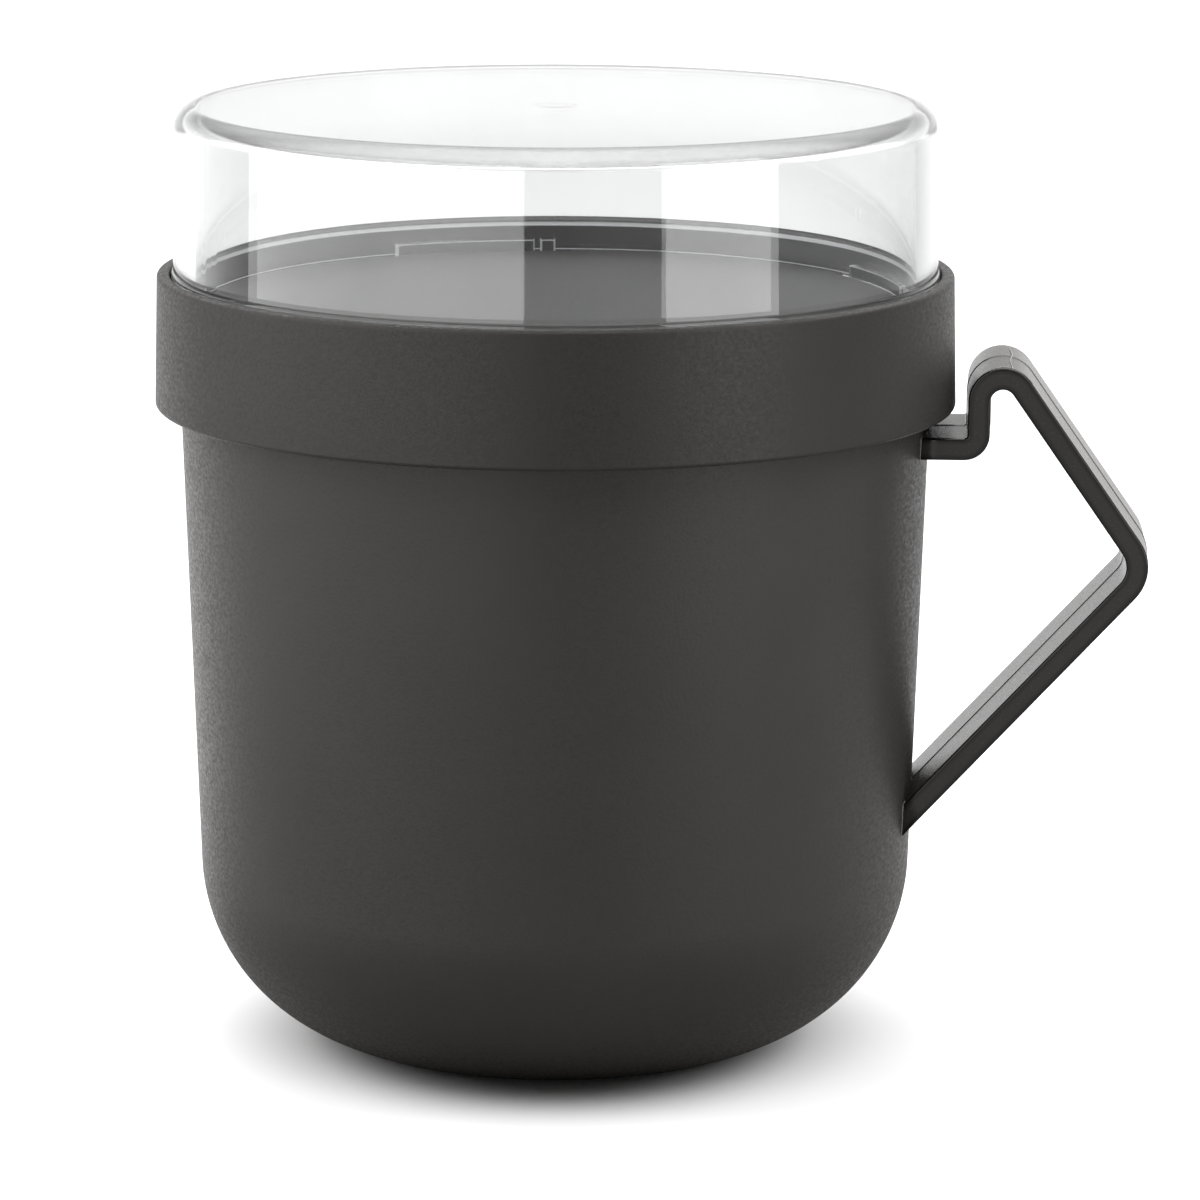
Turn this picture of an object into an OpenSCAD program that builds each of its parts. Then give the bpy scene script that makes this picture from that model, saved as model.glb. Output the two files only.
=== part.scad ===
// Soup mug: a leaning-walled mug with a folded strap handle, a screw lid with a sealing ring,
// and a clear cap that stands in the lid's collar. Millimetres, the mug's axis is Z, the table is z = 0.

/* [Mug] */
// Height of the mug's rim above the table
rim_h = 98.4; // [85:0.2:120]
// Outer radius of the mug at its rim
rim_r = 51.8; // [49:0.1:52.2]
// Lean of the side wall from upright, in degrees
wall_lean = 1.9; // [0.5:0.1:3]
// Thickness of the side wall
wall_t = 2.2; // [1.8:0.1:2.6]
// Thickness of the bottom inside the foot ring's line
bottom_t = 2.6; // [2.2:0.1:4]
// Radius of the big round between wall and bottom
bottom_bend = 26; // [16:0.5:30]
// How much of the big round is cut flat to stand on
foot_cut = 0.45; // [0.3:0.05:0.9]
// Width of the flat ring that the mug stands on
foot_w = 4; // [2:0.5:8]
// Depth of the recess inside the foot ring
foot_recess = 0.8; // [0.3:0.1:1.2]
// Radius of the rim's two edges
rim_round = 0.6; // [0.2:0.1:0.9]

/* [Strap handle] */
// Width of the strap, across the mug
strap_w = 20.5; // [14:0.5:28]
// Thickness of the strap at its two side faces
strap_t = 3; // [2.4:0.1:3.4]
// Draft of the strap's broad faces towards the parting line in its middle, in degrees
strap_draft = 1; // [0.5:0.1:1.5]
// Chamfer along the strap's four edges
strap_edge = 0.3; // [0.2:0.1:0.8]
// Drop of the tab's middle below the collar's lower edge, where the strap leaves the wall
tab_drop = 4.35; // [4.2:0.05:12]
// Gap between the collar and the upright of the strap
upright_gap = 1.5; // [0.8:0.1:4]
// Radius of the bend from tab to upright, in the strap's middle
tab_bend = 2; // [1.9:0.1:3]
// Height of the hook's top above the collar's lower edge, in the strap's middle
hook_rise = 5.4; // [3:0.1:8]
// Radius of the hook's bend, in the strap's middle
hook_bend = 3.2; // [2.2:0.1:4.5]
// Fall of the upper leg from level, in degrees
upper_fall = 55.09; // [48:0.001:62]
// Reach of the strap's middle past the collar, at the grip's corner
grip_reach = 25; // [19:0.1:33]
// Radius of the grip's corner, in the strap's middle
grip_bend = 4.8; // [3:0.1:8]
// Turn of the strap round the grip's corner, from the upper to the lower leg, in degrees
grip_turn = 77.585; // [70:0.001:88]

/* [Screw lid] */
// Room for the thread between the mug's rim and the skirt
thread_room = 1.2; // [0.9:0.1:1.8]
// Height of the collar
collar_h = 18.1; // [14:0.1:24]
// Lean of the collar's outside from upright, in degrees
collar_lean = 1.2; // [0:0.1:1.5]
// Radius of the collar's outer edges
collar_round = 0.5; // [0.4:0.1:1.3]
// Thickness of the skirt that screws over the mug
skirt_t = 2; // [1.7:0.1:2.2]
// Thickness of the lid's floor
floor_t = 3; // [2:0.1:3.4]
// Depth of the floor below the collar's top
floor_depth = 4; // [3:0.1:8]
// Depth of the seat round the floor, where the cap's foot stands
seat_depth = 0.8; // [0.4:0.1:1]
// Chamfer on the inner edge of the collar's top and on the floor's edge
lead_in = 0.3; // [0.1:0.1:0.5]
// Thickness of the plug rib that goes into the mug's mouth
plug_t = 1.6; // [1.2:0.1:2.2]
// Depth of the plug rib below the floor
plug_depth = 3.2; // [2.6:0.1:6]

/* [Sealing ring] */
// Thickness of the sealing ring between rim and floor
seal_t = 1.6; // [1.2:0.1:2.4]
// How far the sealing ring reaches past the mug's wall on both sides
seal_lap = 0.7; // [0.3:0.1:0.8]
// Chamfer on the sealing ring's edges
seal_edge = 0.3; // [0.1:0.1:0.4]

/* [Clear cap] */
// Overall height of the cap
cap_h = 27.7; // [18:0.1:45]
// Lean of the cap's wall from upright, in degrees
cap_lean = 1.1; // [0.5:0.1:2]
// Thickness of the cap's wall
cap_t = 3; // [2:0.1:3.4]
// Thickness of the cap's top
cap_top_t = 2.75; // [1.8:0.05:3.4]
// Radius of the round between wall and top, outside
cap_bend = 3; // [2.5:0.1:5]
// Radius of the same round inside
cap_inner_bend = 0.4; // [0.3:0.1:3]
// Height of the bead round the cap that snaps into the collar's mouth
bead_h = 1.4; // [1:0.1:2]
// How far the bead stands out of the cap's wall
bead_out = 0.25; // [0.1:0.05:0.3]
// Level of the bead's middle below the collar's top
bead_drop = 0.1; // [0:0.1:1]
// Radius of the small round on the foot's edges
cap_foot_round = 0.4; // [0.1:0.1:0.6]
// Radius of the gate's dimple in the middle of the top, on its inside
gate_r = 2.7; // [1.5:0.1:4]
// Depth of that dimple
gate_depth = 0.3; // [0.1:0.1:0.6]

/* [Key lugs] */
// Number of key lugs round the cap's foot
lug_count = 4; // [2:1:6]
// Turn of the first lug from the handle, in degrees
lug_turn = 18.4; // [0:0.1:30]
// Width of a lug
lug_w = 24.5; // [10:0.5:30]
// Height of a lug above the lid's floor
lug_h = 1.5; // [1:0.1:3]
// How far a lug stands in from the cap's wall
lug_in = 1.1; // [0.6:0.1:1.6]
// Width of the slit near a lug's end
slit_w = 1.1; // [0.6:0.1:2]
// Width of the short end beyond the slit
slit_end = 2; // [1:0.1:4]
// Room on each side of a lug in its notch of the floor's edge
notch_side = 2.5; // [1:0.1:4]

/* [Clearances] */
// Gap all round between the cap's foot and the collar
cap_gap = 0.35; // [0.3:0.05:0.5]
// Gap between the lid's floor and what stands inside or outside its edge
floor_gap = 0.35; // [0.3:0.05:0.5]
// Gap between the sealing ring and the walls beside it
seal_gap = 0.3; // [0.2:0.05:0.4]

/* [Hidden] */
$fn = 128;
dark_grey = "#45423f";
seal_grey = "#b9b7b2";
clear_white = [0.93, 0.95, 0.96, 0.35];
// Run-out of every cut past the face that it opens
overrun = 1;

// Levels, from the rim up and down
floor_under_z = rim_h + seal_t;
floor_z = floor_under_z + floor_t;
seat_z = floor_z - seat_depth;
collar_top_z = floor_z + floor_depth;
collar_foot_z = collar_top_z - collar_h;

// Radii of the lid and of the cap in it
skirt_r = rim_r + thread_room;
collar_r = skirt_r + skirt_t;
collar_top_r = collar_r - collar_h * tan(collar_lean);
seat_r = skirt_r - lead_in / 2;
cap_r = seat_r - cap_gap;
cap_inner_r = cap_r - cap_t / cos(cap_lean);
plateau_r = cap_inner_r - floor_gap;
lug_r = cap_inner_r - lug_in;
notch_r = lug_r - floor_gap;
seal_inner_r = rim_r - wall_t - seal_lap;
seal_outer_r = rim_r + seal_lap;
plug_r = seal_inner_r - seal_gap;

// Radius of the arc whose height and rise are the bead's
bead_arc_r = (bead_h * bead_h / 4 + bead_out * bead_out) / (2 * bead_out);

// The strap's middle line in the plane y = 0: its bends' centres and its straight lengths.
// The bends' angles have sines and cosines of six digits, so that the straight lengths meet them exactly
strap_mid_t = strap_t + strap_w * tan(strap_draft);
root_x = rim_r - wall_t - strap_mid_t;
upright_x = collar_r + upright_gap + strap_mid_t / 2;
hook_x = upright_x + hook_bend;
hook_z = collar_foot_z + hook_rise - hook_bend;
tab_z = collar_foot_z - tab_drop;
grip_x = collar_r + grip_reach - grip_bend;
tab_length = upright_x - tab_bend - root_x;
upright_length = hook_z - tab_z - tab_bend;
upper_length = (grip_x - hook_x + (grip_bend - hook_bend) * sin(upper_fall)) / cos(upper_fall);
lower_fall = 180 - upper_fall - grip_turn;
lower_length = (grip_x + grip_bend * sin(lower_fall) - root_x) / cos(lower_fall);

// Half section of a cup with its mouth at z = 0: a leaning wall, a round and a level end at depth,
// cut off square at the height clip
module cup_section(mouth_r, lean, bend, depth, clip) {
    bend_z = depth - bend;
    bend_x = mouth_r - bend_z * tan(lean) - bend / cos(lean);
    intersection() {
        union() {
            translate([bend_x, bend_z]) circle(bend);
            polygon([
                [0, 0],
                [mouth_r, 0],
                [bend_x + bend * cos(lean), bend_z + bend * sin(lean)],
                [bend_x, depth],
                [0, depth]
            ]);
        }
        square([mouth_r, clip]);
    }
}

// What a round of radius r takes off a corner at x, z whose body lies at side_x, side_z of it
module corner_waste(x, z, r, side_x, side_z) {
    translate([x + side_x * r, z + side_z * r]) difference() {
        translate([side_x > 0 ? -r - overrun : 0, side_z > 0 ? -r - overrun : 0]) square(r + overrun);
        circle(r);
    }
}

// Cross-section of the strap: broad faces that swell to a parting line in the middle, chamfered edges
module strap_section() {
    half_w = strap_w / 2;
    half_t = strap_t / 2;
    half_mid = strap_mid_t / 2;
    polygon([
        [-half_w, -half_t + strap_edge],
        [-half_w + strap_edge, -half_t],
        [0, -half_mid],
        [half_w - strap_edge, -half_t],
        [half_w, -half_t + strap_edge],
        [half_w, half_t - strap_edge],
        [half_w - strap_edge, half_t],
        [0, half_mid],
        [-half_w + strap_edge, half_t],
        [-half_w, half_t - strap_edge]
    ]);
}

// Straight run of the strap along x; what follows starts at its end
module strap_run(length) {
    rotate([90, 0, 90]) linear_extrude(length) strap_section();
    translate([length, 0, 0]) children();
}

// Bend of the strap upwards through turn; what follows starts at its end and in its direction
module strap_bend(bend, turn) {
    translate([0, 0, bend]) {
        rotate([90, 0, 0]) rotate([0, 0, -90]) rotate_extrude(angle = turn)
            translate([bend, 0]) rotate(90) strap_section();
        rotate([0, -turn, 0]) translate([0, 0, -bend]) children();
    }
}

// Tab under the collar and upright behind it, then, with all bends downwards, hook, upper leg,
// grip corner and lower leg
module strap_handle() {
    translate([root_x, 0, tab_z])
        strap_run(tab_length)
        strap_bend(tab_bend, 90)
        strap_run(upright_length)
        mirror([0, 0, 1])
        strap_bend(hook_bend, 90)
        strap_bend(hook_bend, upper_fall)
        strap_run(upper_length)
        strap_bend(grip_bend, grip_turn)
        strap_run(lower_length);
}

// One moulding: the mug with its strap, hollow down to the bottom
module mug_body() {
    foot_r = rim_r - (rim_h + foot_cut - bottom_bend) * tan(wall_lean) - bottom_bend / cos(wall_lean)
        + sqrt(bottom_bend * bottom_bend - (bottom_bend - foot_cut) * (bottom_bend - foot_cut));
    inner_r = rim_r - wall_t;
    color(dark_grey) difference() {
        union() {
            translate([0, 0, rim_h]) mirror([0, 0, 1]) rotate_extrude() difference() {
                cup_section(rim_r, wall_lean, bottom_bend, rim_h + foot_cut, rim_h);
                corner_waste(rim_r, 0, rim_round, -1, 1);
            }
            strap_handle();
        }
        translate([0, 0, rim_h]) mirror([0, 0, 1]) rotate_extrude() {
            cup_section(inner_r, wall_lean, bottom_bend - wall_t, rim_h + foot_cut - wall_t, rim_h - bottom_t);
            intersection() {
                corner_waste(inner_r, 0, rim_round, 1, 1);
                translate([0, -overrun]) square([inner_r + rim_round, rim_round + overrun]);
            }
        }
        translate([0, 0, -overrun]) cylinder(r = foot_r - foot_w, h = foot_recess + overrun);
    }
}

// Soft ring that lies in the lid and seals on the mug's rim
module lid_seal() {
    low = rim_h;
    high = floor_under_z;
    color(seal_grey) rotate_extrude() polygon([
        [seal_inner_r, low + seal_edge],
        [seal_inner_r + seal_edge, low],
        [seal_outer_r - seal_edge, low],
        [seal_outer_r, low + seal_edge],
        [seal_outer_r, high - seal_edge],
        [seal_outer_r - seal_edge, high],
        [seal_inner_r + seal_edge, high],
        [seal_inner_r, high - seal_edge]
    ]);
}

// Notch in the edge of the lid's floor, one for each key lug
module key_notch() {
    notch_w = lug_w + 2 * notch_side;
    intersection() {
        translate([0, -notch_w / 2, seat_z]) cube([plateau_r + floor_gap, notch_w, seat_depth + overrun]);
        difference() {
            translate([0, 0, seat_z]) cylinder(r = plateau_r + floor_gap / 2, h = seat_depth + overrun);
            cylinder(r = notch_r, h = collar_top_z);
        }
    }
}

// Lid: skirt and collar in one wall, a floor across it, a plug rib under the floor
module screw_lid() {
    color(dark_grey) difference() {
        rotate_extrude() difference() {
            union() {
                polygon([
                    [0, floor_under_z],
                    [skirt_r, floor_under_z],
                    [skirt_r, collar_foot_z],
                    [collar_r, collar_foot_z],
                    [collar_top_r, collar_top_z],
                    [seat_r + lead_in, collar_top_z],
                    [seat_r, collar_top_z - lead_in],
                    [seat_r, seat_z],
                    [plateau_r, seat_z],
                    [plateau_r, floor_z - lead_in],
                    [plateau_r - lead_in, floor_z],
                    [0, floor_z]
                ]);
                translate([plug_r - plug_t, floor_under_z - plug_depth])
                    square([plug_t, plug_depth + floor_t / 2]);
            }
            corner_waste(collar_top_r, collar_top_z, collar_round, -1, -1);
            corner_waste(collar_r, collar_foot_z, collar_round, -1, 1);
        }
        for (k = [0 : lug_count - 1])
            rotate([0, 0, lug_turn + k * 360 / lug_count]) key_notch();
    }
}

// Key lug on the inside of the cap's foot, with a slit near one end
module key_lug() {
    lug_top = seat_depth + lug_h;
    difference() {
        intersection() {
            translate([0, -lug_w / 2, 0]) cube([cap_r, lug_w, lug_top]);
            difference() {
                cylinder(r = cap_inner_r + cap_t / 2, h = lug_top);
                translate([0, 0, -overrun]) cylinder(r = lug_r, h = lug_top + 2 * overrun);
            }
        }
        translate([0, slit_end - lug_w / 2, -overrun]) cube([cap_inner_r, slit_w, lug_top + 2 * overrun]);
    }
}

// Clear cap: a low upturned cup with a bead near its foot, and a gate dimple inside its top
module clear_cap() {
    bead_z = collar_top_z - bead_drop - seat_z;
    bead_x = cap_r - bead_z * tan(cap_lean) + bead_out - bead_arc_r;
    color(clear_white) translate([0, 0, seat_z]) {
        difference() {
            rotate_extrude() difference() {
                union() {
                    cup_section(cap_r, cap_lean, cap_bend, cap_h, cap_h);
                    translate([bead_x, bead_z]) circle(bead_arc_r);
                }
                corner_waste(cap_r, 0, cap_foot_round, -1, 1);
            }
            rotate_extrude()
                cup_section(cap_inner_r, cap_lean, cap_inner_bend, cap_h - cap_top_t, cap_h);
            translate([0, 0, cap_h - cap_top_t - overrun]) cylinder(r = gate_r, h = gate_depth + overrun);
        }
        for (k = [0 : lug_count - 1])
            rotate([0, 0, lug_turn + k * 360 / lug_count]) key_lug();
    }
}

mug_body();
lid_seal();
screw_lid();
clear_cap();
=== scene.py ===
"""Looks of the soup mug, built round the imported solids: metres, the mug's axis is Z, the table is z = 0."""
import math

import bpy
import numpy as np
from mathutils import Matrix, Vector


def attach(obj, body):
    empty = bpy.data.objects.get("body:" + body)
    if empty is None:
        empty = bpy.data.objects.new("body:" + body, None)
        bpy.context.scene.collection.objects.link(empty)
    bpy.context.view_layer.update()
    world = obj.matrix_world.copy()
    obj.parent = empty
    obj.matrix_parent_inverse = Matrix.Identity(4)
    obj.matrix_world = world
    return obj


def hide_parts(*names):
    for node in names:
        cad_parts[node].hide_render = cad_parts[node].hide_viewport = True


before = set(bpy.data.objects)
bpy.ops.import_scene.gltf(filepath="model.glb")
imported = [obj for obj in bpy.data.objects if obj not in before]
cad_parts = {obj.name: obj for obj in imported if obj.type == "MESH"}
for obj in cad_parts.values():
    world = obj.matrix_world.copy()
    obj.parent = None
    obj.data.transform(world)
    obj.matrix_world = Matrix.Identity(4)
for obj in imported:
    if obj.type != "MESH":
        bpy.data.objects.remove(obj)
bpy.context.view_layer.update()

scene = bpy.context.scene
scene.view_settings.view_transform = "Standard"
# Light runs to and fro many times inside the clear cap's thick wall and top before it comes out.
scene.cycles.max_bounces = 32
scene.cycles.glossy_bounces = 24
scene.cycles.transmission_bounces = 24

# The photograph's camera: its place and tilt were solved together with the mug's sizes, by a fit to the outlines.
# A long lens, 0.76 m from the mug's axis and 0.22 m above the table, looks 11.7 degrees down. It stands 4 degrees
# round towards the handle, because the photograph shows a little of the handle's outside.
camera_reach, camera_z, camera_lens, camera_film = 0.75506, 0.21729, 166.59, 36.0
camera_turn, camera_pitch, camera_yaw, camera_roll = 0.0695, 0.2044, 0.0082, 0.0031
camera_place = Vector((camera_reach * math.sin(camera_turn), -camera_reach * math.cos(camera_turn), camera_z))
heading = camera_yaw - camera_turn
gaze = Vector((
    math.sin(heading) * math.cos(camera_pitch),
    math.cos(heading) * math.cos(camera_pitch),
    -math.sin(camera_pitch),
))
level_right = Vector((math.cos(heading), -math.sin(heading), 0.0))
level_up = level_right.cross(gaze)
camera_right = math.cos(camera_roll) * level_right + math.sin(camera_roll) * level_up
camera_up = -math.sin(camera_roll) * level_right + math.cos(camera_roll) * level_up
camera_axes = Matrix((camera_right, camera_up, -gaze)).transposed()
camera_data = bpy.data.cameras.new("camera")
camera_data.sensor_width = camera_film
camera_data.lens = camera_lens
camera_data.clip_start = 0.01
camera = bpy.data.objects.new("camera", camera_data)
camera.matrix_world = Matrix.Translation(camera_place) @ camera_axes.to_4x4()
scene.collection.objects.link(camera)
scene.camera = camera


# The studio: a white tent, brightest overhead, bright behind the mug and dim round the camera, its bright side turned
# a little to the left. A broad panel at the left and a narrow one at the right give the clear cap its upright
# reflections, and one lamp on each side lights the dull surfaces only. The white table keeps the mug's shadow.
def put_node(tree, kind, settings=None, **links):
    """Adds a node of a kind. Settings go to its attributes. Links go to its sockets, each called by its name or, as in
    _0, by its number, and each a value or another node's output."""
    node = tree.nodes.new(kind)
    for key, value in (settings or {}).items():
        setattr(node, key, value)
    for key, value in links.items():
        socket = node.inputs[int(key[1:])] if key[0] == "_" else node.inputs[key.replace("_", " ")]
        if isinstance(value, bpy.types.NodeSocket):
            tree.links.new(value, socket)
        else:
            socket.default_value = value
    return node


def straight_through(tree, rays):
    """1 for a ray from the camera that only passed clear plastic on its way, so with no other bounce, else 0."""
    bounces = put_node(
        tree, "ShaderNodeMath", {"operation": "ADD"},
        _0=rays.outputs["Diffuse Depth"], _1=rays.outputs["Glossy Depth"],
    )
    straight = put_node(tree, "ShaderNodeMath", {"operation": "LESS_THAN"}, _0=bounces.outputs[0], _1=0.5)
    return put_node(
        tree, "ShaderNodeMath", {"operation": "MULTIPLY"},
        _0=rays.outputs["Is Transmission Ray"], _1=straight.outputs[0],
    ).outputs[0]


# The tent's own light: its wall is bright low down and behind, and dim in front and higher up; above it is the dome.
# left_share of the direction's x, added to its y, turns the bright side to the left.
left_share, front_level, back_level, upper_share, dome_level = -0.32, 0.18, 1.35, 0.34, 2.45
tent = bpy.data.worlds.new("white_tent")
tent.use_nodes = True
tree = tent.node_tree
tree.nodes.clear()
direction = put_node(tree, "ShaderNodeSeparateXYZ", _0=put_node(tree, "ShaderNodeTexCoord").outputs["Generated"])
away = put_node(
    tree, "ShaderNodeMath", {"operation": "MULTIPLY_ADD"},
    _0=direction.outputs["X"], _1=left_share, _2=direction.outputs["Y"],
)
depth = put_node(
    tree, "ShaderNodeMapRange", {"interpolation_type": "SMOOTHSTEP"},
    Value=away.outputs[0], From_Min=-0.2, From_Max=0.95, To_Min=front_level, To_Max=back_level,
)
low = put_node(
    tree, "ShaderNodeMapRange", {"interpolation_type": "SMOOTHSTEP"},
    Value=direction.outputs["Z"], From_Min=0.04, From_Max=0.26, To_Min=1.0, To_Max=upper_share,
)
wall = put_node(tree, "ShaderNodeMath", {"operation": "MULTIPLY"}, _0=depth.outputs[0], _1=low.outputs[0])
tilted = put_node(
    tree, "ShaderNodeMath", {"operation": "MULTIPLY_ADD"},
    _0=direction.outputs["Y"], _1=0.2, _2=direction.outputs["Z"],
)
dome = put_node(
    tree, "ShaderNodeMapRange", {"interpolation_type": "SMOOTHSTEP"},
    Value=tilted.outputs[0], From_Min=0.4, From_Max=0.85,
)
tent_level = put_node(
    tree, "ShaderNodeMix", {"data_type": "FLOAT"}, _0=dome.outputs[0], _2=wall.outputs[0], _3=dome_level,
)

# The camera meets plain white instead, a strength of 1: seen directly, straight through clear plastic, or by any ray
# that leaves the clear plastic towards the back.
rays = put_node(tree, "ShaderNodeLightPath")
ahead = put_node(
    tree, "ShaderNodeMapRange", {"interpolation_type": "SMOOTHSTEP"},
    Value=direction.outputs["Y"], From_Min=0.3, From_Max=0.7,
)
to_back = put_node(
    tree, "ShaderNodeMath", {"operation": "MULTIPLY"}, _0=rays.outputs["Is Transmission Ray"], _1=ahead.outputs[0],
)
through = put_node(
    tree, "ShaderNodeMath", {"operation": "MAXIMUM"}, _0=to_back.outputs[0], _1=straight_through(tree, rays),
)
seen = put_node(
    tree, "ShaderNodeMath", {"operation": "MAXIMUM"}, _0=rays.outputs["Is Camera Ray"], _1=through.outputs[0],
)
level = put_node(tree, "ShaderNodeMix", {"data_type": "FLOAT"}, _0=seen.outputs[0], _2=tent_level.outputs[0], _3=1.0)
backdrop = put_node(tree, "ShaderNodeBackground", Color=(1, 1, 1, 1), Strength=level.outputs[0])
put_node(tree, "ShaderNodeOutputWorld", Surface=backdrop.outputs[0])
scene.world = tent


def soft_panel(name, turn, distance, width, height, middle_z, brightness, mirrored):
    """Rectangular lamp that faces the mug's axis, turned from the camera's side to the right, in degrees. If mirrored,
    it shows in the sheen of surfaces and doesn't light them, else the other way round. The camera sees neither."""
    lamp = bpy.data.lights.new(name, "AREA")
    lamp.shape = "RECTANGLE"
    lamp.size, lamp.size_y = width, height
    lamp.energy = brightness * math.pi * width * height
    panel = bpy.data.objects.new(name, lamp)
    a = math.radians(turn) + camera_turn
    panel.location = (distance * math.sin(a), -distance * math.cos(a), middle_z)
    panel.rotation_euler = (math.pi / 2, 0, a)
    panel.visible_camera = False
    panel.visible_glossy, panel.visible_diffuse = mirrored, not mirrored
    scene.collection.objects.link(panel)


mirrored_panel = {"height": 0.42, "middle_z": 0.22, "mirrored": True}
soft_panel("panel_left", turn=-54.5, distance=0.45, width=0.916, brightness=2.2, **mirrored_panel)
soft_panel("panel_right", turn=48.2, distance=0.50, width=0.315, brightness=3.1, **mirrored_panel)
side_lamp = {"distance": 0.50, "width": 0.50, "height": 0.40, "middle_z": 0.32, "brightness": 4.4, "mirrored": False}
soft_panel("fill_left", turn=-100.0, **side_lamp)
soft_panel("fill_right", turn=100.0, **side_lamp)

# The table, painted white: plain to the camera, and a little less so through clear plastic. To other rays it is grey,
# darkest in front of the mug, so that it throws no more light up than the tent's dim front would.
table_reach, table_seen, table_through, table_front, table_back = 6.0, 0.9, 0.72, 0.33, 0.8
table_mesh = bpy.data.meshes.new("table")
table_corners = [(x * table_reach, y * table_reach, 0.0) for x, y in ((-1, -1), (1, -1), (1, 1), (-1, 1))]
table_mesh.from_pydata(table_corners, [], [(0, 1, 2, 3)])
table = bpy.data.objects.new("table", table_mesh)
scene.collection.objects.link(table)
table_paint = bpy.data.materials.new("white_table")
table_paint.use_nodes = True
tree = table_paint.node_tree
tree.nodes.clear()
rays = put_node(tree, "ShaderNodeLightPath")
place = put_node(tree, "ShaderNodeTexCoord").outputs["Object"]
way = put_node(tree, "ShaderNodeVectorMath", {"operation": "NORMALIZE"}, _0=place)
way = put_node(tree, "ShaderNodeSeparateXYZ", _0=way.outputs[0])
away = put_node(
    tree, "ShaderNodeMath", {"operation": "MULTIPLY_ADD"},
    _0=way.outputs["X"], _1=left_share, _2=way.outputs["Y"],
)
behind = put_node(
    tree, "ShaderNodeMapRange", {"interpolation_type": "SMOOTHSTEP"},
    Value=away.outputs[0], From_Min=0.3, From_Max=1.1, To_Min=table_front, To_Max=table_back,
)
through = put_node(
    tree, "ShaderNodeMix", {"data_type": "RGBA"},
    _0=straight_through(tree, rays), _6=behind.outputs[0], _7=(table_through, table_through, table_through, 1),
)
white = put_node(
    tree, "ShaderNodeMix", {"data_type": "RGBA"},
    _0=rays.outputs["Is Camera Ray"], _6=through.outputs[2], _7=(table_seen, table_seen, table_seen, 1),
)
paint = put_node(tree, "ShaderNodeBsdfDiffuse", Color=white.outputs[2])
put_node(tree, "ShaderNodeOutputMaterial", Surface=paint.outputs[0])
table_mesh.materials.append(table_paint)

# The mug: one moulding in warm dark grey polypropylene, its outside fine-textured by a spark-eroded mould. The wall
# leans out and runs in one big round into the bottom, which is cut flat to stand and has a recess in its middle.
# Sizes here and below are in mm and degrees, and MM makes them metres.
MM = 0.001
rim_h, rim_r, rim_round, wall_lean, wall_t, bottom_t, bottom_bend = 98.4, 51.8, 0.6, 1.9, 2.2, 2.6, 26.0
foot_cut, foot_w, foot_edge, recess_h = 0.45, 4.0, 0.3, 0.8
lean = math.radians(wall_lean)
bend_z = bottom_bend - foot_cut
bend_r = rim_r - (rim_h - bend_z) * math.tan(lean) - bottom_bend / math.cos(lean)
inner_bend = bottom_bend - wall_t
foot_turn = math.degrees(math.asin(bend_z / bottom_bend))
floor_turn = math.degrees(math.asin((bend_z - bottom_t) / inner_bend))
foot_r = bend_r + bottom_bend * math.cos(math.radians(foot_turn))
recess_r = foot_r - foot_w


def arc(r, z, radius, start, end, steps):
    """Points of an arc round r, z from angle start to end, in degrees from the outward direction, upwards positive."""
    a = np.radians(np.linspace(start, end, steps + 1))
    return np.stack([r + radius * np.cos(a), z + radius * np.sin(a)], 1)


def braced(outline, near=0.12):
    """Outline with a point near both ends of each long side, so that smooth shading turns only round its corners."""
    step = np.diff(outline, axis=0)
    length = np.hypot(step[:, 0], step[:, 1])
    long = length > 4 * near
    share = np.where(long, near / np.maximum(length, near), 0)[:, None]
    rows = np.stack([outline[:-1], outline[:-1] + share * step, outline[1:] - share * step], 1)
    keep = np.stack([np.ones_like(long), long, long], 1)
    return np.vstack([rows[keep], outline[-1:]])


def closed_mesh(name, grid, ring):
    """Mesh of a grid of points (rows, columns, 3) in mm that closes over its columns; over its rows too if ring,
    else each end row is closed by a face, or by a fan if all its points are one. Faces are turned outwards."""
    rows, columns, _ = grid.shape
    index = np.arange(rows * columns).reshape(rows, columns)
    poles = [k for k in (0, rows - 1) if np.ptp(grid[k], axis=0).max() < 1e-6]
    index[poles] = index[poles][:, :1]
    lower = np.vstack([index, index[:1]]) if ring else index
    quads = np.stack([lower[:-1], lower[1:], np.roll(lower[1:], -1, 1), np.roll(lower[:-1], -1, 1)], 2)
    quads = quads.reshape(-1, 4)
    points = grid.reshape(-1, 3)
    a, b, c, d = (points[quads[:, k]] for k in range(4))
    volume = (np.cross(a, b) * c).sum() + (np.cross(a, c) * d).sum()
    faces = [[v for k, v in enumerate(q) if v != q[k - 1]] for q in quads.tolist()]
    if not ring:
        faces += [index[k][::way].tolist() for k, way in ((0, 1), (rows - 1, -1)) if k not in poles]
    if volume < 0:
        faces = [f[::-1] for f in faces]
    used = np.unique(np.concatenate([np.asarray(f) for f in faces]))
    new = np.zeros(len(points), int)
    new[used] = np.arange(len(used))
    mesh = bpy.data.meshes.new(name)
    mesh.from_pydata((points[used] * MM).tolist(), [], [new[f].tolist() for f in faces])
    mesh.shade_smooth()
    mesh.validate()
    piece = bpy.data.objects.new(name, mesh)
    scene.collection.objects.link(piece)
    return piece


def turned(name, outline, ring=False, columns=288):
    """Outline of r, z in mm turned about the mug's axis: x = r cos a, y = r sin a."""
    outline = braced(np.vstack([outline, outline[:1]]))[:-1] if ring else braced(outline)
    a = np.linspace(0, 2 * math.pi, columns, endpoint=False)
    r, z = outline[:, :1], outline[:, 1:]
    return closed_mesh(name, np.stack([r * np.cos(a), r * np.sin(a), z + 0 * a], 2), ring)


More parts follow.
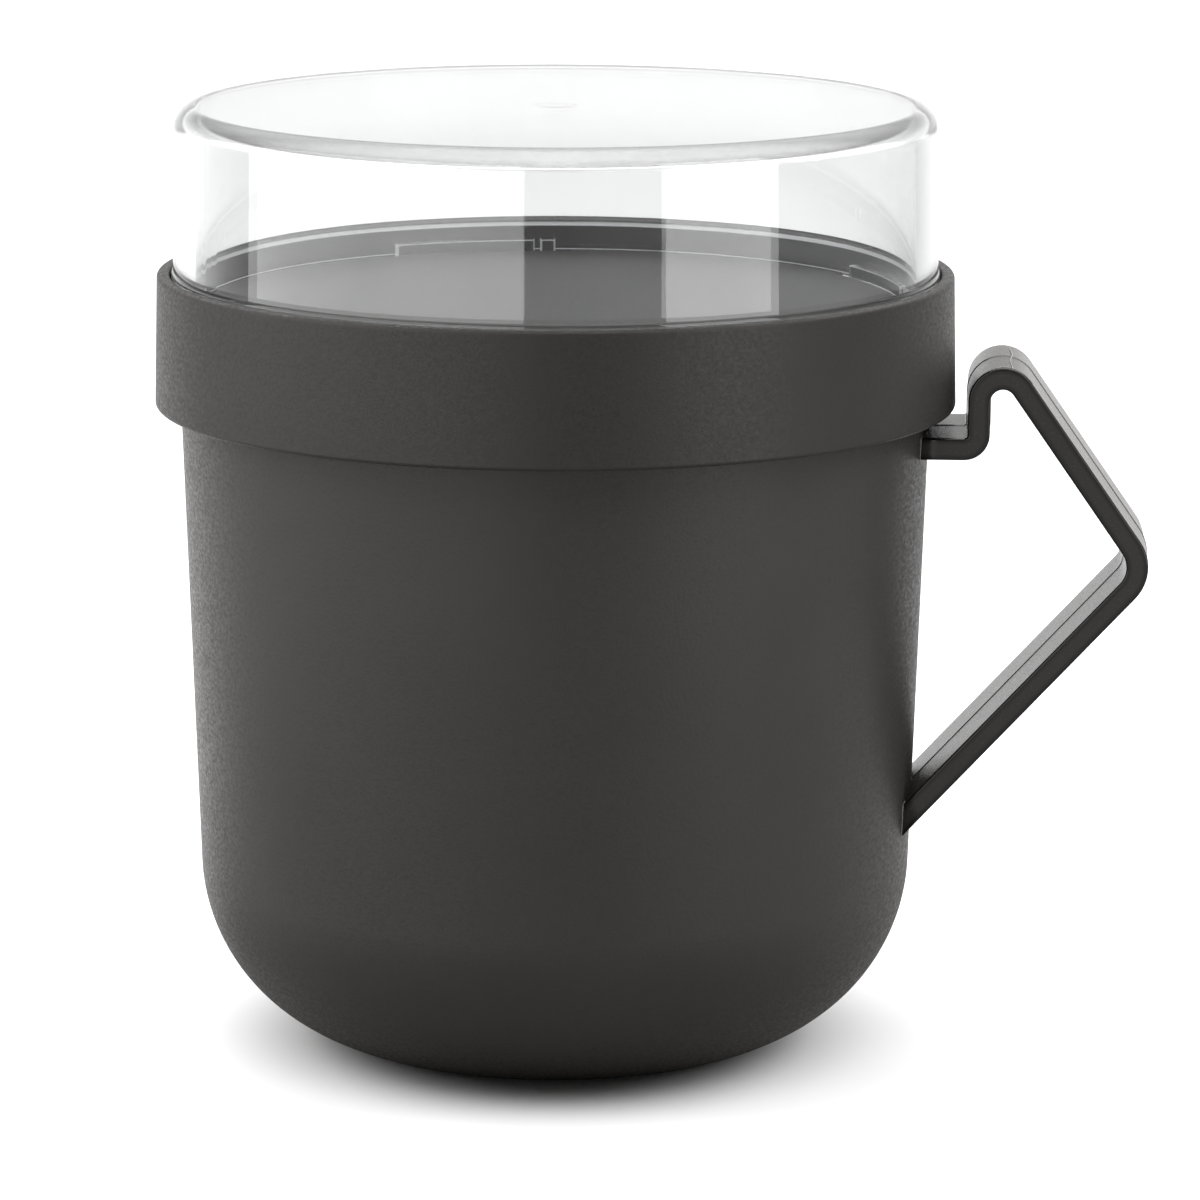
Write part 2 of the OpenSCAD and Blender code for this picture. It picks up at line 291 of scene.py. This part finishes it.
mug_cup = turned("mug_cup", np.vstack([
    [[0, bottom_t]],
    arc(bend_r, bend_z, inner_bend, -floor_turn, -wall_lean, 36),
    arc(rim_r - wall_t + rim_round, rim_h - rim_round, rim_round, 180 - wall_lean, 90, 6),
    arc(rim_r - rim_round, rim_h - rim_round, rim_round, 90, -wall_lean, 6),
    arc(bend_r, bend_z, bottom_bend, -wall_lean, -foot_turn, 48),
    arc(recess_r + foot_edge, foot_edge, foot_edge, -90, -180, 4),
    [[recess_r, recess_h], [0, recess_h]],
]))


def linear(code):
    """Linear colour of an sRGB hex value."""
    c = np.array([int(code[k:k + 2], 16) for k in (1, 3, 5)]) / 255
    return (*np.where(c <= 0.04045, c / 12.92, ((c + 0.055) / 1.055) ** 2.4), 1.0)


# Textured polypropylene: a matt dark surface with a fine grain, drawn slightly coarser than the real one so that it
# shows, and a weak sheen that varies from grain to grain, which sparkles where light comes along the surface. The
# grains are longer from front to back, so that they aren't lost where the round wall turns away. Where the strap's
# edge attribute is 1 the mould was polished, so it is glossy there, and its colour is painted nearly black there as
# painted shade along the edges.
grain_w, cloud_w = 0.45, 18.0
# The polished edges' nearly black colour is painted shade; their low roughness is the polish.
polished_edge_shade_colour, polished_roughness = "#0d0d0d", 0.15


def textured_plastic(name, colour, roughness, spread=0.0, grain=0.0, shine=0.33):
    """Moulded plastic: fine noise varies the roughness by up to spread and lifts the surface by up to grain, in mm;
    cloudy noise varies the colour; shine is the specular level."""
    plastic = bpy.data.materials.new(name)
    plastic.use_nodes = True
    tree = plastic.node_tree
    tree.nodes.clear()
    place = put_node(tree, "ShaderNodeTexCoord").outputs["Object"]
    longer = put_node(tree, "ShaderNodeVectorMath", {"operation": "MULTIPLY"}, _0=place, _1=(1.0, 0.4, 1.0))
    fine = put_node(
        tree, "ShaderNodeTexNoise",
        Vector=longer.outputs[0], Scale=1 / (grain_w * MM), Detail=2.0, Roughness=0.6,
    )
    cloudy = put_node(
        tree, "ShaderNodeTexNoise", Vector=place, Scale=1 / (cloud_w * MM), Detail=3.0, Roughness=0.55,
    )
    bump = put_node(tree, "ShaderNodeBump", Strength=1.0, Distance=grain * MM, Height=fine.outputs["Fac"])
    tone = put_node(
        tree, "ShaderNodeMapRange",
        Value=cloudy.outputs["Fac"], From_Min=0.3, From_Max=0.7, To_Min=0.94, To_Max=1.06,
    )
    shade = put_node(
        tree, "ShaderNodeMix", {"data_type": "RGBA", "blend_type": "MULTIPLY"},
        _0=1.0, _6=linear(colour), _7=tone.outputs[0],
    )
    sheen = put_node(
        tree, "ShaderNodeMapRange",
        Value=fine.outputs["Fac"], From_Min=0.3, From_Max=0.7, To_Min=roughness - spread, To_Max=roughness + spread,
    )
    # The polished edges: lower roughness, and a nearly black colour that is painted shade.
    edge = put_node(tree, "ShaderNodeAttribute", {"attribute_name": "polished_shaded_edge"}).outputs["Fac"]
    sheen = put_node(
        tree, "ShaderNodeMix", {"data_type": "FLOAT"}, _0=edge, _2=sheen.outputs[0], _3=polished_roughness,
    )
    shade = put_node(
        tree, "ShaderNodeMix", {"data_type": "RGBA"}, _0=edge, _6=shade.outputs[2], _7=linear(polished_edge_shade_colour),
    )
    surface = put_node(
        tree, "ShaderNodeBsdfPrincipled", Base_Color=shade.outputs[2], Roughness=sheen.outputs[0], IOR=1.49,
        Specular_IOR_Level=shine, Normal=bump.outputs[0],
    )
    put_node(tree, "ShaderNodeOutputMaterial", Surface=surface.outputs[0])
    return plastic


mug_plastic = textured_plastic("textured_polypropylene_mug", "#3a3734", roughness=0.45, spread=0.14, grain=0.02)
mug_cup.data.materials.append(mug_plastic)
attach(mug_cup, "mug")
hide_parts("mug_body")

# The strap handle, moulded in one with the mug: a flat drafted strap that comes out under the collar, folds up into
# a hook, falls in a straight leg to the grip's corner and runs back down into the wall. Its parting line is a fine
# ridge along the middle, where the mould's two sliding halves met. Its edges are polished, edge_fade wide, and
# painted nearly black there as painted shade.
strap_w, strap_t, strap_draft, strap_edge, edge_fade = 20.5, 3.0, 1.0, 0.3, 0.9
ridge_w, ridge_top_w, ridge_h = 0.22, 0.12, 0.09
tab_z, tab_bend, hook_rise, hook_bend, grip_reach, grip_bend = 84.55, 2.0, 5.4, 3.2, 80.0, 4.8
upper_fall, grip_turn, collar_r, collar_foot, collar_gap = 55.09, 77.585, 55.0, 88.9, 1.5
swell = strap_w / 2 * math.tan(math.radians(strap_draft))
strap_mid_t = strap_t + 2 * swell
root_x = rim_r - wall_t - strap_mid_t
upright_x = collar_r + collar_gap + strap_mid_t / 2
hook_x, hook_z = upright_x + hook_bend, collar_foot + hook_rise - hook_bend
grip_x = grip_reach - grip_bend
falls = math.radians(upper_fall)
upper_length = (grip_x - hook_x + (grip_bend - hook_bend) * math.sin(falls)) / math.cos(falls)
lower_fall = math.radians(180 - upper_fall - grip_turn)
lower_length = (grip_x + grip_bend * math.sin(lower_fall) - root_x) / math.cos(lower_fall)


def strap_line(turns, lengths, bends, start):
    """Middle line of the strap in the plane y = 0, as x, z and direction: straight lengths joined by arcs, which turn
    upwards if positive, in chords of about 1.5 mm and 6 degrees. The direction is summed over the turns, and the
    place over the chords."""
    turn, step = [], []
    for length, angle, bend in zip(lengths, turns + [0], bends + [0]):
        pieces = max(2, int(length / 1.5))
        turn.append(np.zeros(pieces))
        step.append(np.full(pieces, length / pieces))
        if angle:
            pieces = max(8, int(abs(angle) / 6))
            part = math.radians(angle) / pieces
            turn.append(np.full(pieces, part))
            step.append(np.full(pieces, 2 * bend * math.sin(abs(part) / 2)))
    turn, step = np.concatenate(turn), np.concatenate(step)
    after = np.cumsum(turn)
    chord = after - turn / 2
    x = start[0] + np.concatenate([[0], np.cumsum(step * np.cos(chord))])
    z = start[1] + np.concatenate([[0], np.cumsum(step * np.sin(chord))])
    return x, z, np.concatenate([[0], after])


def strap_outline():
    """The strap's section, across (y) and out (w) of the middle line: a quarter with a rounded edge and half a broad
    face that swells to the parting ridge, then mirrored twice."""
    half_w, half_t = strap_w / 2, strap_t / 2
    mid_t = half_t + swell
    quarter = np.vstack([
        [[half_w, half_t - edge_fade]],
        arc(half_w - strap_edge, half_t - strap_edge, strap_edge, 0, 89, 4),
        [[half_w - edge_fade, half_t + swell * edge_fade / half_w]],
        [[ridge_w, mid_t - ridge_h], [ridge_top_w, mid_t - 0.01], [0, mid_t]],
    ])
    upper = np.vstack([quarter, quarter[-2::-1] * [-1, 1]])
    whole = np.vstack([upper, -upper])
    return braced(np.vstack([whole, whole[:1]]))[:-1]


def end_in_wall(end, direction):
    """Moves the strap's end row along the strap's direction until it lies in the middle of the wall's thickness."""
    for _ in range(30):
        wall_r = rim_r - wall_t / 2 - (rim_h - end[:, 2]) * math.tan(lean)
        end = end + (wall_r - np.hypot(end[:, 0], end[:, 1]))[:, None] * direction
    return end


def past_wall(row):
    """True where a row of the strap stands outside the wall by more than 0.4 mm."""
    return np.hypot(row[:, 0], row[:, 1]).min() > rim_r - (rim_h - row[:, 2].mean()) * math.tan(lean) + 0.4


line_x, line_z, line_a = strap_line(
    [90, -90 - upper_fall, -grip_turn],
    [upright_x - tab_bend - root_x, hook_z - tab_z - tab_bend, upper_length, lower_length],
    [tab_bend, hook_bend, grip_bend],
    (root_x, tab_z),
)
across, out = strap_outline().T
grid = np.stack([
    line_x[:, None] - out * np.sin(line_a)[:, None],
    0 * line_x[:, None] + across,
    line_z[:, None] + out * np.cos(line_a)[:, None],
], 2)
tab_way = np.array([1.0, 0, 0])
leg_way = np.array([math.cos(lower_fall), 0, math.sin(lower_fall)])
first = next(k for k in range(len(grid)) if past_wall(grid[k]))
last = len(grid) - next(k for k in range(len(grid)) if past_wall(grid[-1 - k]))
tab_end, leg_end = end_in_wall(grid[first], tab_way), end_in_wall(grid[last - 1], leg_way)
grid = np.concatenate([tab_end[None], grid[first:last], leg_end[None]])
strap = closed_mesh("strap_handle", grid, False)

# The polished edges, painted nearly black as painted shade: the edge attribute falls from 1 at the section's corners
# to 0 at edge_fade from them.
to_corner = np.hypot(strap_w / 2 - np.abs(across), strap_t / 2 - np.abs(out))
polished_shaded_edge = np.clip(1 - to_corner / edge_fade, 0, 1)
layer = strap.data.attributes.new("polished_shaded_edge", "FLOAT", "POINT")
layer.data.foreach_set("value", np.tile(polished_shaded_edge, len(grid)))
# The strap's colour is painted a little lighter than the mug's, though it is the same plastic: painted light.
strap.data.materials.append(
    textured_plastic("textured_polypropylene_strap", "#413e3b", roughness=0.26, spread=0.02, grain=0.006)
)
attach(strap, "mug")
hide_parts("mug_body")

# Witness lines on the strap: fine raised lines of flash where the mould's parts met, coloured much lighter than the
# plastic as painted highlights along them. One runs across the hook's top and along its near edge, and one round
# each root, where the strap comes out of the wall.
flash_r = 0.09
# Their light colour is a painted highlight.
flash_highlight_plastic = textured_plastic("polypropylene_flash_highlight", "#8e8b87", roughness=0.35)


def fine_line(name, path, outward, ring):
    """Six-sided tube of radius flash_r along a path of points; outward is a direction across the path at each."""
    ahead = np.roll(path, -1, 0) - np.roll(path, 1, 0) if ring else np.gradient(path, axis=0)
    side = np.cross(ahead, outward)
    side /= np.linalg.norm(side, axis=1)[:, None]
    outward = outward / np.linalg.norm(outward, axis=1)[:, None]
    turn = np.radians(np.arange(0, 360, 60))[:, None]
    around = flash_r * (np.cos(turn) * outward[:, None] + np.sin(turn) * side[:, None])
    line = closed_mesh(name, path[:, None] + around, ring)
    line.data.materials.append(flash_highlight_plastic)
    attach(line, "mug")


def on_hook(name, turn, y):
    """Line on the hook's outer face, at angles in degrees from its top outwards and distances y from its middle."""
    a = np.radians(turn)
    reach = hook_bend + strap_t / 2 + swell * (1 - np.abs(y) / (strap_w / 2))
    outward = np.stack([np.sin(a), 0 * a, np.cos(a)], 1)
    fine_line(name, np.stack([hook_x + reach * np.sin(a), y, hook_z + reach * np.cos(a)], 1), outward, False)


def round_root(name, row, direction):
    """Line round a root of the strap: the section's points moved along the strap to the wall's outer face."""
    row = row[::2]
    for _ in range(30):
        wall_r = rim_r - (rim_h - row[:, 2]) * math.tan(lean)
        row = row + (wall_r - np.hypot(row[:, 0], row[:, 1]))[:, None] * direction
    fine_line(name, row, row * [1, 1, 0], True)


across_y = np.linspace(strap_w / 2 - strap_edge, -strap_w / 2 + strap_edge, 25)
on_hook("flash_highlight_across_hook", 13.5 + 1.6 * np.sin(0.55 * across_y + 0.6) + 0.5 * np.sin(3.1 * across_y), across_y)
along = np.linspace(0, 1, 17)
on_hook("flash_highlight_hook_out", 13 + 44 * along, -9.3 - 0.6 * np.sqrt(along))
on_hook("flash_highlight_hook_in", 13 - 34 * along, -9.3 - 0.5 * along)
round_root("flash_highlight_tab_root", grid[1], tab_way)
round_root("flash_highlight_leg_root", grid[-2], leg_way)

# The three-start thread on the mug's neck, moulded in one with it: three ridges, each a third of a turn long, that
# rise 18 mm a turn and run out into the wall at both ends. The lid hides them until it is screwed off.
thread_lead, thread_rise, thread_foot_w, thread_tip_w, thread_sunk = 18.0, 6.0, 2.2, 1.0, 0.4


def thread_ridges(name, base, tip, low_z, turn):
    """Three helical ridges: the section is a trapezium from radius base to tip, its height fades at both ends, and
    its middle lies at z = low_z + lead * a / 360. Its foot reaches thread_sunk into the wall."""
    a = np.linspace(0, thread_rise / thread_lead * 2 * math.pi, 49)
    fade = np.clip(np.minimum(a, a[-1] - a) / 0.2, 0, 1)
    fade = (fade * fade * (3 - 2 * fade))[:, None]
    middle = (low_z + thread_lead * a / (2 * math.pi))[:, None]
    outward = np.sign(tip - base)
    sunk = base - thread_sunk * outward
    r = base + (np.array([sunk, base, tip, tip, base, sunk]) - base) * np.where([1, 0, 0, 0, 0, 1], 1, fade)
    r = r - np.where([0, 0, 1, 1, 0, 0], 1, 0) * (1 - fade) * 0.3 * outward
    foot, crest = thread_foot_w / 2, thread_tip_w / 2
    z = middle + np.array([-foot, -foot, -crest, crest, foot, foot])
    parts = []
    for start in range(3):
        angle = (a + math.radians(turn + 120 * start))[:, None]
        part = closed_mesh(f"{name}_{start + 1}", np.stack([r * np.cos(angle), r * np.sin(angle), z], 2), False)
        parts.append(part)
    return parts


for ridge in thread_ridges("neck_thread", rim_r - 0.2, rim_r + 0.65, 90.6, 20):
    ridge.data.materials.append(mug_plastic)
    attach(ridge, "mug")

# The sealing ring: soft light grey silicone, a flat ring with eased edges that lies under the lid's floor and is
# pressed on the mug's rim.
ring_low, ring_high, ring_in, ring_out, ring_edge = 98.4, 100.0, 48.9, 52.5, 0.3
sealing_ring = turned("sealing_ring", np.vstack([
    arc(ring_out - ring_edge, ring_low + ring_edge, ring_edge, 0, -90, 5),
    arc(ring_in + ring_edge, ring_low + ring_edge, ring_edge, -90, -180, 5),
    arc(ring_in + ring_edge, ring_high - ring_edge, ring_edge, 180, 90, 5),
    arc(ring_out - ring_edge, ring_high - ring_edge, ring_edge, 90, 0, 5),
]), ring=True)


# Moulded silicone: a soft sheen that varies a little, and a faint cloudy tone like dust on the surface.
def silicone(name, colour, cloud=6.0):
    """Silicone: cloudy noise, cloud mm wide, varies its tone and its roughness."""
    rubber = bpy.data.materials.new(name)
    rubber.use_nodes = True
    tree = rubber.node_tree
    tree.nodes.clear()
    place = put_node(tree, "ShaderNodeTexCoord").outputs["Object"]
    cloudy = put_node(tree, "ShaderNodeTexNoise", Vector=place, Scale=1 / (cloud * MM), Detail=3.0, Roughness=0.6)
    tone = put_node(
        tree, "ShaderNodeMapRange",
        Value=cloudy.outputs["Fac"], From_Min=0.3, From_Max=0.7, To_Min=0.95, To_Max=1.03,
    )
    shade = put_node(
        tree, "ShaderNodeMix", {"data_type": "RGBA", "blend_type": "MULTIPLY"},
        _0=1.0, _6=linear(colour), _7=tone.outputs[0],
    )
    sheen = put_node(
        tree, "ShaderNodeMapRange",
        Value=cloudy.outputs["Fac"], From_Min=0.3, From_Max=0.7, To_Min=0.42, To_Max=0.58,
    )
    surface = put_node(
        tree, "ShaderNodeBsdfPrincipled", Base_Color=shade.outputs[2], Roughness=sheen.outputs[0], IOR=1.41,
    )
    put_node(tree, "ShaderNodeOutputMaterial", Surface=surface.outputs[0])
    return rubber


sealing_ring.data.materials.append(silicone("silicone_ring", "#b9b7b2"))
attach(sealing_ring, "seal")
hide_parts("lid_seal")

# The screw lid: the same plastic, one moulding. A skirt over the mug's neck carries on above as a collar; a floor
# lies across it, with a plug rib below, a seat round its edge for the clear cap, and four notches for the key lugs.
# Its outside is textured, and its floor and the collar's inner wall are smooth.
collar_top, collar_lean, collar_round, skirt_r = 107.0, 1.2, 0.5, 53.0
floor_top, seat_top, floor_under, plug_end = 103.0, 102.2, 100.0, 96.8
seat_r, plateau_r, plug_r, plug_t = 52.85, 49.148, 48.6, 1.6
edge_r, corner_r, plug_edge = 0.35, 0.25, 0.3
lug_turn, lug_w, lug_h, lug_in, lug_ramp, notch_side, cap_inner_r = 18.4, 24.5, 1.5, 1.1, 0.25, 2.5, 49.498
collar_top_r = collar_r - (collar_top - collar_foot) * math.tan(math.radians(collar_lean))
notch_half = lug_w / 2 + notch_side

# Edges that turn by more than crease show sharp. A hair is the play in mm where rows are picked by their sizes.
crease = math.radians(35)
hair = 0.01


def from_key(a):
    """Way round the cap's inner wall from the middle of the nearest key lug to each angle, in mm."""
    return ((a - math.radians(lug_turn) + math.pi / 4) % (math.pi / 2) - math.pi / 4) * cap_inner_r


def within(way, half):
    """Share of a sector at each way from its middle: 1 inside, 0 outside its half width, with a straight ramp."""
    return np.clip((half - np.abs(way)) / lug_ramp + 0.5, 0, 1)


def key_angles(halves):
    """Even angles, with more of them across each ramp at half widths from the keys' middles."""
    even = np.linspace(0, 2 * math.pi, 288, endpoint=False)
    over_ramp = np.array([-0.2, -0.125, -0.04, 0.04, 0.125, 0.2])
    ends = np.concatenate([
        math.radians(lug_turn) + key * math.pi / 2 + (side * half + over_ramp) / cap_inner_r
        for key in range(4) for side in (-1, 1) for half in halves
    ])
    return np.unique(np.round(np.concatenate([even, ends % (2 * math.pi)]), 7))


lid_outline = braced(np.vstack([
    [[0, floor_top]],
    arc(plateau_r - edge_r, floor_top - edge_r, edge_r, 90, 0, 4),
    [[plateau_r, seat_top]],
    arc(seat_r - corner_r, seat_top + corner_r, corner_r, -90, 0, 3),
    arc(seat_r + edge_r, collar_top - edge_r, edge_r, 180, 90, 5),
    arc(collar_top_r - collar_round, collar_top - collar_round, collar_round, 90, collar_lean, 8),
    arc(collar_r - collar_round, collar_foot + collar_round, collar_round, 0, -90, 8),
    arc(skirt_r + corner_r, collar_foot + corner_r, corner_r, -90, -180, 3),
    [[skirt_r, floor_under], [plug_r, floor_under]],
    arc(plug_r - plug_edge, plug_end + plug_edge, plug_edge, 0, -90, 3),
    arc(plug_r - plug_t + plug_edge, plug_end + plug_edge, plug_edge, -90, -180, 3),
    [[plug_r - plug_t, floor_under], [0, floor_under]],
]))
lid_a = key_angles([notch_half])
lid_r, lid_z = (np.repeat(lid_outline[:, k:k + 1], len(lid_a), 1) for k in (0, 1))
floor_edge = (lid_outline[:, 0] > 40) & (lid_outline[:, 0] < plateau_r + hair) & (lid_outline[:, 1] > seat_top - hair)
lid_r[floor_edge] -= (lug_in + hair) * within(from_key(lid_a), notch_half)
screw_lid = closed_mesh("screw_lid_shell", np.stack([lid_r * np.cos(lid_a), lid_r * np.sin(lid_a), lid_z], 2), False)
screw_lid.data.set_sharp_from_angle(angle=crease)

# The lid's colour is painted darker than the mug's, though it is the same plastic: painted shade.
lid_plastic = textured_plastic("textured_polypropylene_lid", "#2c2a28", roughness=0.48, spread=0.12, grain=0.02)
lid_inside = textured_plastic("smooth_polypropylene_lid", "#2c2a28", roughness=0.46, spread=0.02, shine=0.18)
screw_lid.data.materials.append(lid_plastic)
screw_lid.data.materials.append(lid_inside)
middles = np.array([face.center for face in screw_lid.data.polygons]) / MM
above_floor = (np.hypot(middles[:, 0], middles[:, 1]) < seat_r + edge_r / 2) & (middles[:, 2] > seat_top - hair)
screw_lid.data.polygons.foreach_set("material_index", above_floor.astype(int))
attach(screw_lid, "lid")
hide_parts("screw_lid")

for ridge in thread_ridges("skirt_thread", skirt_r + 0.1, skirt_r - 0.8, 91.1, 80):
    ridge.data.materials.append(lid_plastic)
    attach(ridge, "lid")

# The clear cap: one moulding in glass-clear plastic, a low upturned cup with a thick wall that leans in, a round to
# the flat top with the gate's dimple in its middle, a low bead round the collar's mouth, and four key lugs inside its
# foot, each with a slit near one end.
cap_foot, cap_top, cap_top_t, cap_r, cap_lean = 102.2, 129.9, 2.75, 52.5, 1.1
cap_bend, cap_inner_bend, foot_round, foot_inner_round = 3.0, 0.4, 0.4, 0.25
bead_h, bead_out, bead_z, slit_w, slit_end = 1.4, 0.25, 106.9, 1.1, 2.0
gate_r, gate_depth, gate_slope, gate_edge = 2.7, 0.3, 0.3, 0.12
# The first four sizes, and the flank's height and half width, place the cap's painted glints.
glint_h, glint_step, glint_share, glint_limit, flank_z, flank_half = 0.12, 0.05, 0.7, 0.4, bead_z - 0.4, 0.3
draw = math.radians(cap_lean)
cap_under = cap_top - cap_top_t
cap_bend_z, cap_inner_bend_z = cap_top - cap_bend, cap_under - cap_inner_bend
cap_bend_r = cap_r - (cap_bend_z - cap_foot) * math.tan(draw) - cap_bend / math.cos(draw)
cap_inner_bend_r = cap_inner_r - (cap_inner_bend_z - cap_foot) * math.tan(draw) - cap_inner_bend / math.cos(draw)
bead_arc_r = (bead_h * bead_h / 4 + bead_out * bead_out) / (2 * bead_out)
bead_x = cap_r - (bead_z - cap_foot) * math.tan(draw) + bead_out - bead_arc_r
bead_turn = math.degrees(math.asin(bead_h / 2 / bead_arc_r))
lug_top = floor_top + lug_h
foot_line = (floor_top, floor_top + glint_h)
lug_line = (lug_top - glint_h, lug_top)
inner_levels = [z for low, high in (foot_line, lug_line) for z in (low - glint_step, low, high, high + glint_step)]
cap_outline = braced(np.vstack([
    [[0, cap_top]],
    arc(cap_bend_r, cap_bend_z, cap_bend, 90, cap_lean, 24),
    arc(bead_x, bead_z, bead_arc_r, bead_turn + cap_lean, cap_lean - bead_turn, 10),
    arc(cap_r - foot_round, cap_foot + foot_round, foot_round, 0, -90, 6),
    arc(cap_inner_r + foot_inner_round, cap_foot + foot_inner_round, foot_inner_round, -90, -180, 4),
    [[cap_inner_r - (z - cap_foot) * math.tan(draw), z] for z in inner_levels],
    arc(cap_inner_bend_r, cap_inner_bend_z, cap_inner_bend, cap_lean, 90, 12),
    arc(gate_r + gate_edge, cap_under + gate_edge, gate_edge, -90, -160, 3),
    arc(gate_r - gate_slope, cap_under + gate_depth - gate_edge, gate_edge, 20, 90, 3),
    [[0, cap_under + gate_depth]],
]))
slit_middle = -(lug_w / 2 - slit_end - slit_w / 2)
cap_a = key_angles([lug_w / 2, lug_w / 2 - slit_end, lug_w / 2 - slit_end - slit_w])
in_lug = within(from_key(cap_a), lug_w / 2) * (1 - within(from_key(cap_a) - slit_middle, slit_w / 2))
out_r, out_z = cap_outline.T
lug_rows = (out_z < lug_top + hair) & (out_r < cap_inner_r + foot_inner_round + hair)

# Painted glints: lines of opaque white in the clear plastic, painted highlights where its edges would glint: the
# upright sides of the lugs and slits, a fine line round the foot at the floor's level, the lugs' top edges, and the
# bead's lower flank, next to the collar's mouth. Each point's share of painted glint runs from 0 to 1, and a face is
# painted white where the mean of its points is over the limit.
painted_glint = np.zeros((len(out_z), len(cap_a)))
painted_glint[lug_rows] = 4 * in_lug * (1 - in_lug)
for (low, high), share in ((foot_line, glint_share * (1 - in_lug)), (lug_line, glint_share * in_lug)):
    rows = lug_rows & (out_z > low - hair) & (out_z < high + hair)
    painted_glint[rows] = np.maximum(painted_glint[rows], share)
painted_glint[(out_r > cap_r - 0.1) & (np.abs(out_z - flank_z) < flank_half)] = glint_share

cap_rows_r, cap_rows_z = (np.repeat(cap_outline[:, k:k + 1], len(cap_a), 1) for k in (0, 1))
lug_face = cap_inner_r + foot_inner_round - in_lug * (lug_in + foot_inner_round)
plain_face = cap_rows_r[lug_rows]
cap_rows_r[lug_rows] = np.where(in_lug > 0, np.minimum(plain_face, lug_face), plain_face)
cap_grid = np.stack([cap_rows_r * np.cos(cap_a), cap_rows_r * np.sin(cap_a), cap_rows_z], 2)
clear_cap = closed_mesh("clear_cap_shell", cap_grid, False)
clear_cap.data.set_sharp_from_angle(angle=crease)
# The mesh keeps one point of each end row, the one on the axis.
point_glint = np.concatenate([painted_glint[0, :1], painted_glint[1:-1].ravel(), painted_glint[-1, :1]])
glint_faces = [point_glint[list(face.vertices)].mean() > glint_limit for face in clear_cap.data.polygons]


# Glass-clear moulded plastic: as transparent as glass, slightly cool, with the faint unevenness of a moulded face,
# which makes its mirror images waver. The top is satin, so that what lies behind it is soft. With no clearness it is
# opaque white that scatters all it gets, which paints the glints along the cap's edges as painted highlights.
clear_colour, clear_roughness, satin_roughness, waver_w, waver_h = "#f6f7f7", 0.02, 0.09, 20.0, 0.02


def clear_plastic(name, clearness):
    """Clear plastic: clearness is the share of light that goes through, and slow noise lifts the surface."""
    plastic = bpy.data.materials.new(name)
    plastic.use_nodes = True
    tree = plastic.node_tree
    tree.nodes.clear()
    place = put_node(tree, "ShaderNodeTexCoord").outputs["Object"]
    waver = put_node(tree, "ShaderNodeTexNoise", Vector=place, Scale=1 / (waver_w * MM), Detail=1.0, Roughness=0.4)
    bump = put_node(tree, "ShaderNodeBump", Strength=1.0, Distance=waver_h * MM, Height=waver.outputs["Fac"])
    height = put_node(tree, "ShaderNodeSeparateXYZ", _0=place).outputs["Z"]
    haze = put_node(
        tree, "ShaderNodeMapRange", Value=height, From_Min=(cap_under - 0.5) * MM, From_Max=(cap_under - 0.1) * MM,
        To_Min=clear_roughness, To_Max=satin_roughness,
    )
    surface = put_node(
        tree, "ShaderNodeBsdfPrincipled", Base_Color=linear(clear_colour), Roughness=haze.outputs[0], IOR=1.57,
        Transmission_Weight=clearness, Normal=bump.outputs[0],
    )
    put_node(tree, "ShaderNodeOutputMaterial", Surface=surface.outputs[0])
    return plastic


clear_cap.data.materials.append(clear_plastic("clear_styrene_acrylonitrile", clearness=1.0))
# The second material, opaque white, paints the glints: painted highlights.
clear_cap.data.materials.append(clear_plastic("glint_painted_styrene_acrylonitrile", clearness=0.0))
clear_cap.data.polygons.foreach_set("material_index", np.array(glint_faces, int))
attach(clear_cap, "cap")
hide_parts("clear_cap")
